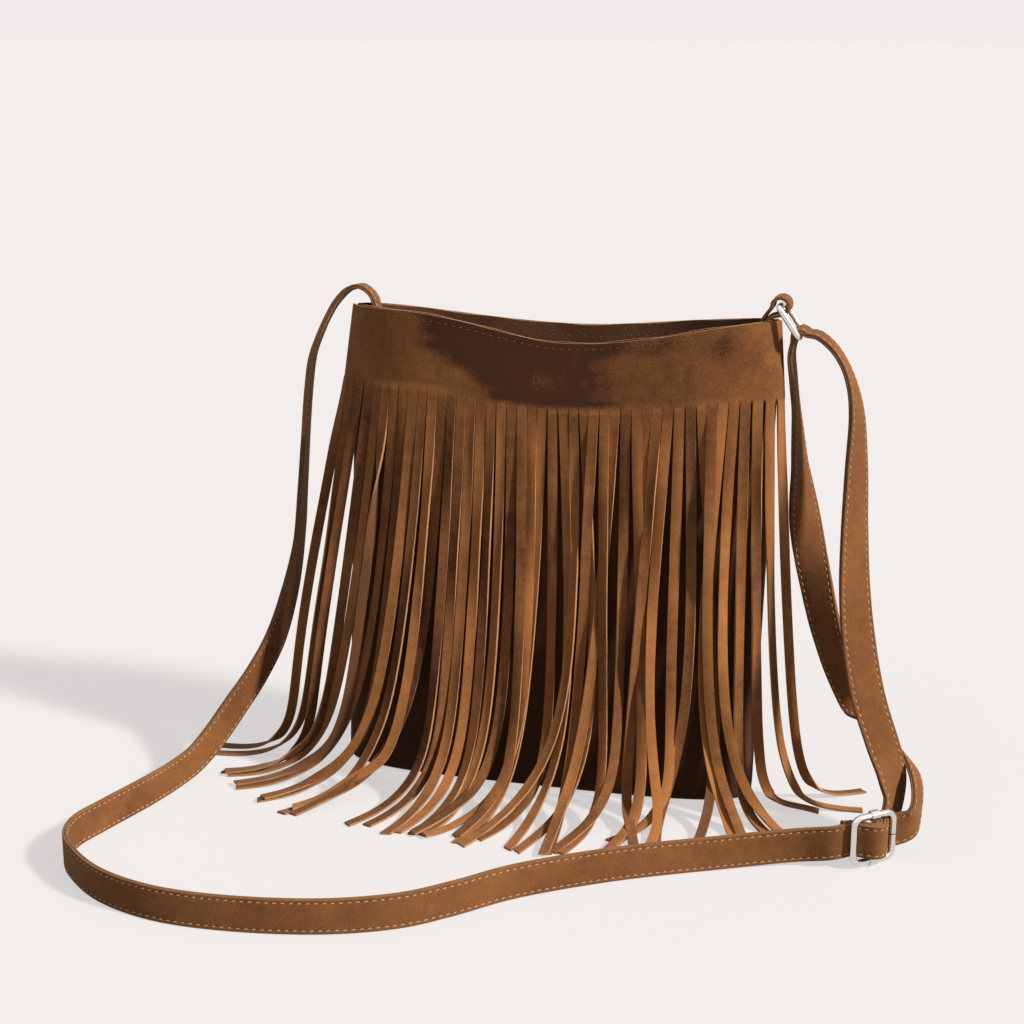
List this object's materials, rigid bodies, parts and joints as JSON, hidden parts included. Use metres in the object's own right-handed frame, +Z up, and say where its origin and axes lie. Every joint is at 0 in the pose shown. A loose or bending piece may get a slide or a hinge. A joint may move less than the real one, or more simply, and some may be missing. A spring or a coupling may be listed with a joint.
{
  "type": "fringed suede shoulder bag",
  "caption": "Open-topped suede shoulder bag with a deep cut fringe on the front and one long adjustable strap through a metal ring and a wire slider.",
  "frame": {"origin": "on the floor, under the middle of the base", "axes": "+Z up, the fringed front faces -Y, and the ring is at the +X end of the mouth"},
  "size_m": [0.4597, 0.2694, 0.2991],
  "materials": {
    "fringe_suede": "napped",
    "body_suede": "napped",
    "facing_suede": "napped",
    "lining_cloth": "woven",
    "strap_suede": "napped",
    "nickel": "polished"
  },
  "bodies": {
    "bag": {"fringe_panel": "fringe_suede", "body_front": "body_suede", "body_back": "body_suede", "facing_front": "facing_suede", "facing_back": "facing_suede", "lining": "lining_cloth", "strap": "strap_suede", "ring_tab": "strap_suede", "slider_frame": "nickel", "slider_bar": "nickel"},
    "ring": {"ring": "nickel"}
  },
  "joints": [
    {"name": "ring_swing", "type": "hinge", "parent": "bag", "child": "ring", "pos_m": [0.1355, 0, 0.293], "axis": [0, 1, 0], "range_deg": [-40, 18], "deforming": ["strap"]}
  ]
}
